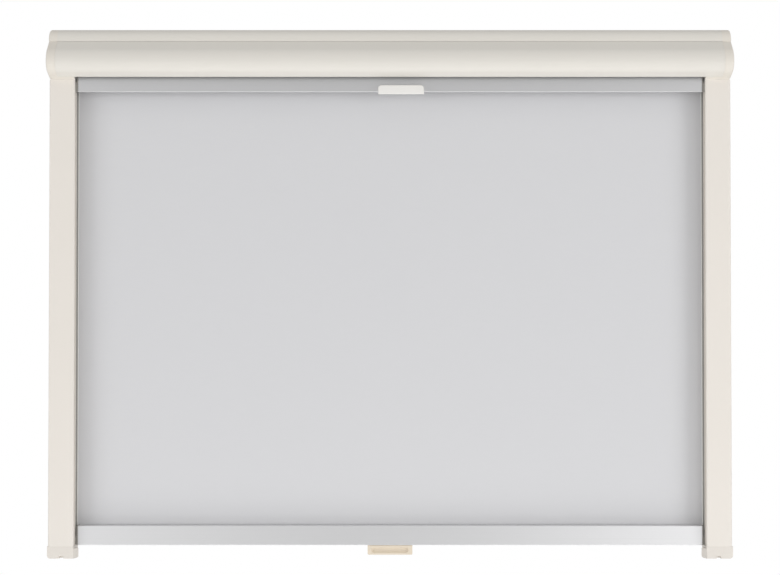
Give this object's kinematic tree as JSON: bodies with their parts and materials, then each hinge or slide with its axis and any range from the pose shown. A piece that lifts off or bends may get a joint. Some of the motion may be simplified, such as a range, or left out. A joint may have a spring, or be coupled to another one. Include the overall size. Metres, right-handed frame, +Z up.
{
  "type": "day and night roller blind",
  "caption": "Wall cassette with two sprung rollers, a pulled-down blackout sheet and a parked fly screen, each on a silver bar that slides between channelled side rails.",
  "frame": {"origin": "middle of the cassette's flat rear face, where it lies on the wall", "axes": "+X to the right as seen from the room, along the cassette; +Y out of the back, to the wall; +Z up"},
  "size_m": [0.914, 0.055, 0.7074],
  "materials": {
    "cream_shell": "cream powder coat, satin",
    "cream_rail": "cream powder coat, satin",
    "cream_moulding": "cream moulded plastic, satin",
    "silver_bar": "natural anodised, fine satin",
    "roller_tube": "plain drawn aluminium",
    "grey_plastic": "mid grey moulded plastic",
    "white_plastic": "white moulded plastic, soft sheen",
    "handle_cream": "cream moulded plastic, soft sheen",
    "seal_grey": "light grey soft seal strip",
    "blackout_fabric": "light grey coated blackout cloth",
    "screen_mesh": "charcoal insect mesh",
    "steel": "zinc-plated steel",
    "spring_steel": "plain spring steel"
  },
  "bodies": {
    "casing": {"cassette_back": "cream_shell", "cassette_cover": "cream_shell", "end_cap_left": "cream_moulding", "end_cap_right": "cream_moulding", "rail_base_left": "cream_rail", "rail_base_right": "cream_rail", "rail_cover_left": "cream_rail", "rail_cover_right": "cream_rail", "side_seal_left": "seal_grey", "side_seal_right": "seal_grey", "foot_left": "cream_moulding", "foot_right": "cream_moulding", "screen_catch_left": "spring_steel", "screen_catch_right": "spring_steel", "blackout_catch_left": "spring_steel", "blackout_catch_right": "spring_steel", "roller_bracket_left": "steel", "roller_bracket_right": "steel", "end_cap_screw_left_rear": "steel", "end_cap_screw_left_front": "steel", "end_cap_screw_right_rear": "steel", "end_cap_screw_right_front": "steel", "bracket_screw_left_upper": "steel", "bracket_screw_left_lower": "steel", "bracket_screw_right_upper": "steel", "bracket_screw_right_lower": "steel", "foot_screw_left": "steel", "foot_screw_right": "steel", "blackout_spring_rod": "steel", "blackout_idle_pin": "steel", "screen_spring_rod": "steel", "screen_idle_pin": "steel", "blackout_return_spring": "spring_steel", "screen_return_spring": "spring_steel", "blackout_sheet": "blackout_fabric", "screen_sheet": "screen_mesh"},
    "blackout_roller": {"blackout_roller_tube": "roller_tube", "blackout_roll": "blackout_fabric", "blackout_spring_plug": "grey_plastic", "blackout_idle_plug": "grey_plastic"},
    "blackout_slider": {"blackout_bar": "silver_bar", "blackout_hem_rod": "white_plastic", "blackout_handle": "handle_cream", "blackout_glider_left": "grey_plastic", "blackout_glider_right": "grey_plastic"},
    "screen_roller": {"screen_roller_tube": "roller_tube", "screen_roll": "screen_mesh", "screen_spring_plug": "grey_plastic", "screen_idle_plug": "grey_plastic"},
    "screen_slider": {"screen_bar": "silver_bar", "screen_hem_rod": "white_plastic", "screen_pull_tab": "white_plastic", "screen_glider_left": "grey_plastic", "screen_glider_right": "grey_plastic"}
  },
  "joints": [
    {"name": "blackout_bar_slide", "type": "slide", "parent": "casing", "child": "blackout_slider", "axis": [0, 0, 1], "range_m": [0, 0.608], "deforming": ["blackout_sheet"]},
    {"name": "blackout_roller_turn", "type": "hinge", "parent": "casing", "child": "blackout_roller", "pos_m": [0, -0.016, 0.01665], "axis": [1, 0, 0], "range_deg": [0, 3000]},
    {"name": "screen_bar_slide", "type": "slide", "parent": "casing", "child": "screen_slider", "axis": [0, 0, -1], "range_m": [0, 0.608], "stiffness_N_per_m": 5, "springref_m": -0.7, "deforming": ["screen_sheet"]},
    {"name": "screen_roller_turn", "type": "hinge", "parent": "casing", "child": "screen_roller", "pos_m": [0, -0.0354, -0.00925], "axis": [1, 0, 0], "range_deg": [-3090, 0]}
  ],
  "couplings": [
    {"joint": "blackout_roller_turn", "follows": "blackout_bar_slide", "rad_per_m": 85.5},
    {"joint": "screen_roller_turn", "follows": "screen_bar_slide", "rad_per_m": -87.7}
  ]
}
